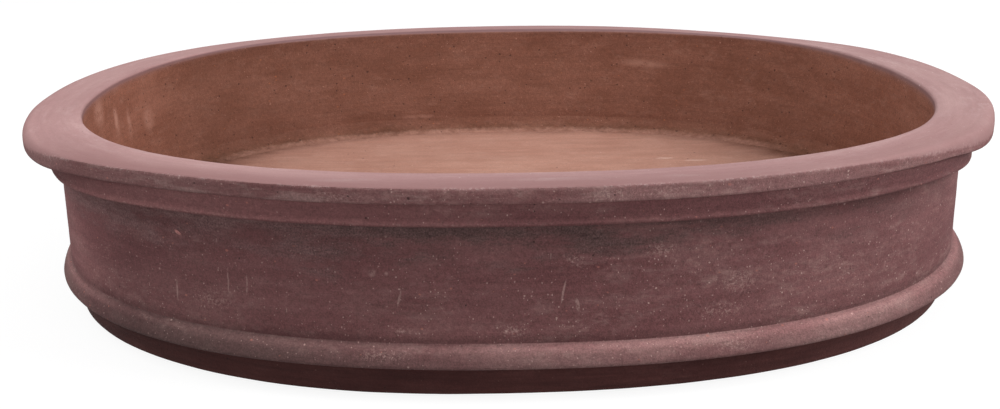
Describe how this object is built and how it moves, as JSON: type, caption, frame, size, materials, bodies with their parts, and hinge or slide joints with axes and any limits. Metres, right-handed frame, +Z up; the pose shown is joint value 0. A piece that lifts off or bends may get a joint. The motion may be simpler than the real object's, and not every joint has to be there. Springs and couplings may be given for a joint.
{
  "type": "oval bonsai pot",
  "caption": "Shallow oval bonsai pot of unglazed brown stoneware: wide flat lip over a step moulding, upright wall, belt moulding above a set-back foot ring, drain holes in the floor.",
  "frame": {"origin": "on the ground under the middle of the oval", "axes": "+X along the pot's length, +Y from the front to the back, +Z up"},
  "size_m": [0.6, 0.46, 0.114],
  "materials": {
    "body_clay": "unglazed, matte, purple-brown, weathered grey under the step moulding",
    "rim_clay": "unglazed, matte, smoothed, pale mauve-brown",
    "inside_clay": "unglazed, matte, warm orange-brown with wiping marks",
    "foot_clay": "unglazed, matte, dark brown"
  },
  "bodies": {
    "root": {"foot_ring_front": "foot_clay", "foot_ring_back": "foot_clay", "base_slab": "inside_clay", "corner_coil_front": "inside_clay", "corner_coil_back": "inside_clay", "wall_strip_front": "body_clay", "wall_strip_back": "body_clay", "belt_moulding_front": "body_clay", "belt_moulding_back": "body_clay", "step_moulding_front": "body_clay", "step_moulding_back": "body_clay", "rim_lip_front": "rim_clay", "rim_lip_back": "rim_clay"}
  },
  "joints": []
}
